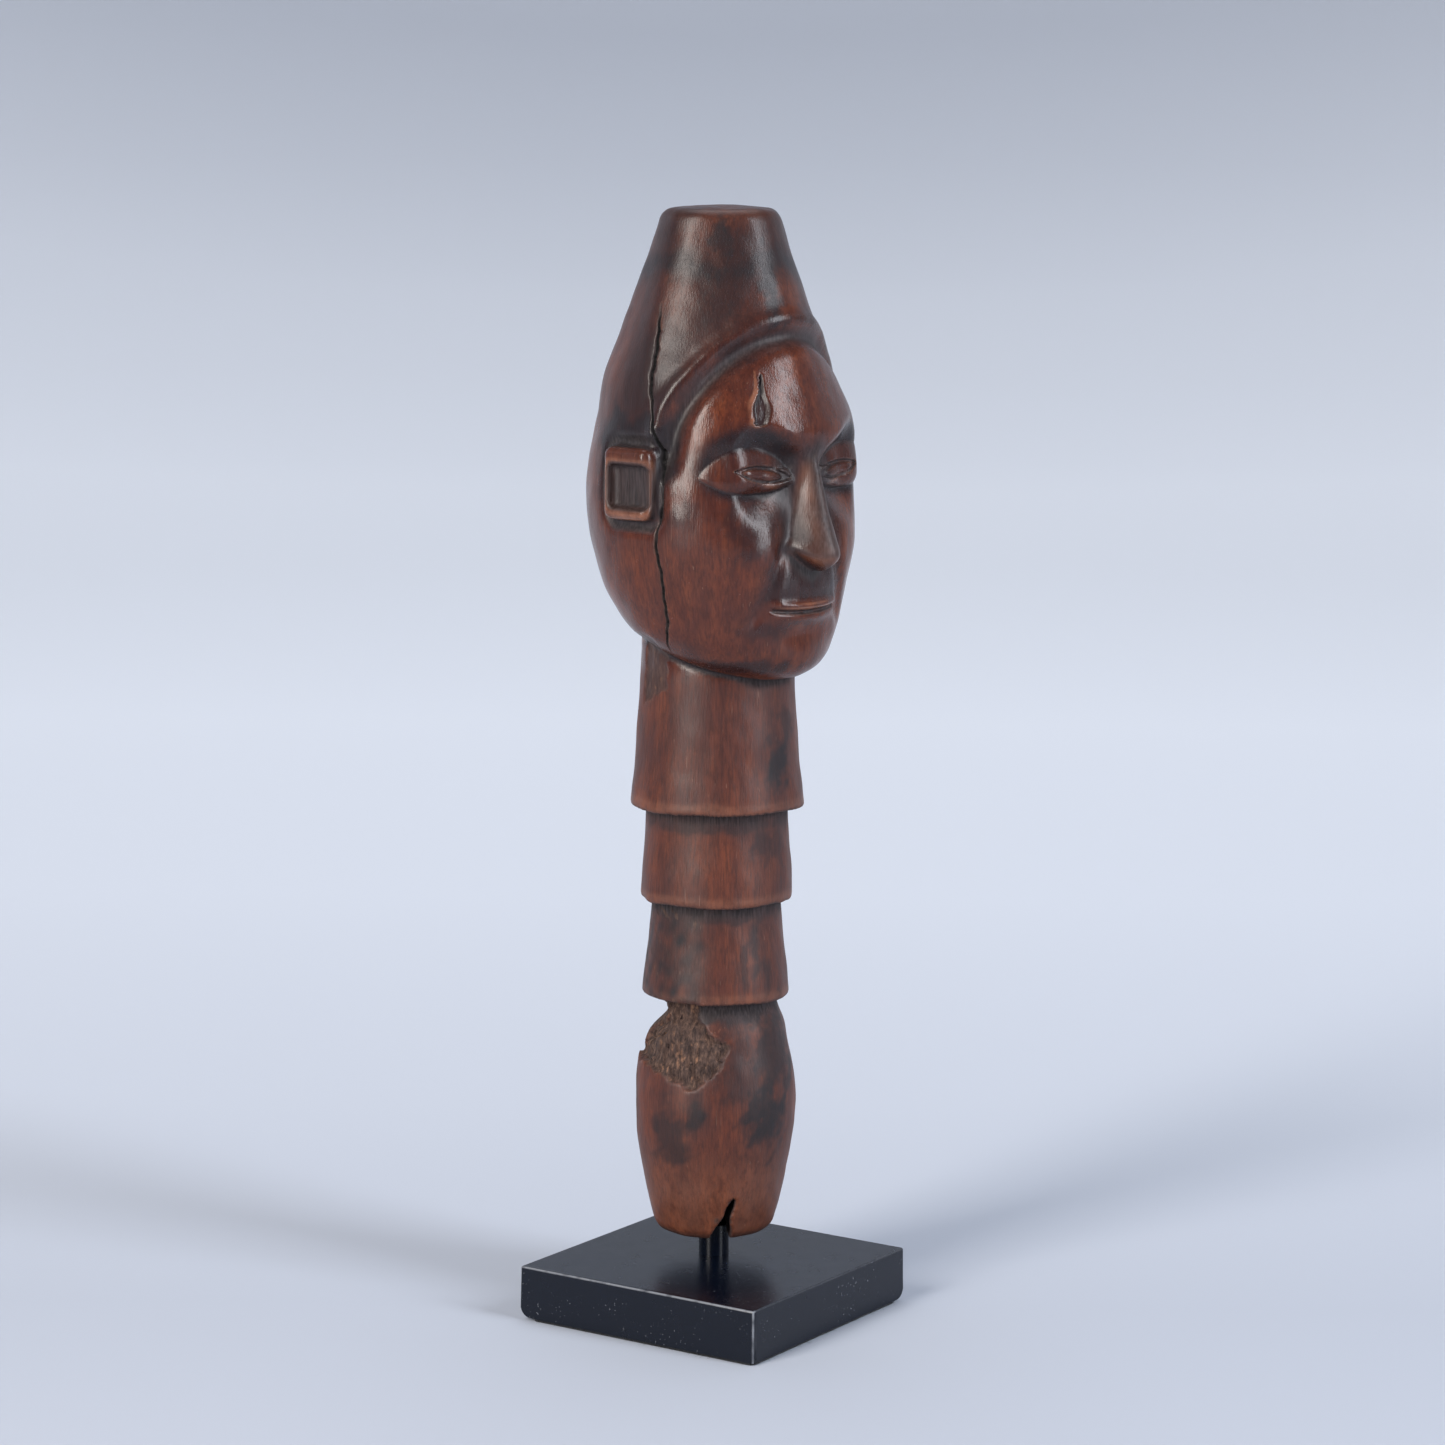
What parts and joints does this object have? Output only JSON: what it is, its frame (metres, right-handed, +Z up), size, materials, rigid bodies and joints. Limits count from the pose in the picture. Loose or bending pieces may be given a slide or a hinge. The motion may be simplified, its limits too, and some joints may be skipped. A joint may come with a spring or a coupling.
{
  "type": "carved wooden figure on display stand",
  "caption": "Carved hardwood figure with a tall tapered coiffure, ringed neck and barrel foot, carried by a sleeved pin in a post on a square steel block.",
  "frame": {"origin": "where the pin's axis meets the surface that the stand rests on", "axes": "+Z up along the pin; the stand's block is square to X and Y; the figure faces -Y, turned 10 degrees towards -X"},
  "size_m": [0.053, 0.0511, 0.202],
  "materials": {
    "carved_wood": "polished by handling, dark patina in the recesses",
    "stand_paint": "satin black spray paint",
    "stand_felt": "black felt",
    "pin_steel": "blackened rod",
    "sleeve_plastic": "matt black shrink tube",
    "fixing_steel": "zinc plated"
  },
  "bodies": {
    "stand": {"base_block": "stand_paint", "base_felt": "stand_felt", "mount_post": "stand_paint", "post_screw": "fixing_steel", "post_washer": "fixing_steel"},
    "pin": {"mount_pin": "pin_steel", "pin_sleeve": "sleeve_plastic"},
    "figure": {"carved_figure": "carved_wood"}
  },
  "joints": [
    {"name": "pin_turn", "type": "hinge", "parent": "stand", "child": "pin", "pos_m": [0, 0, 0.01], "axis": [0, 0, 1], "continuous": true},
    {"name": "figure_lift", "type": "slide", "parent": "pin", "child": "figure", "axis": [0, 0, 1], "range_m": [0, 0.024]}
  ]
}
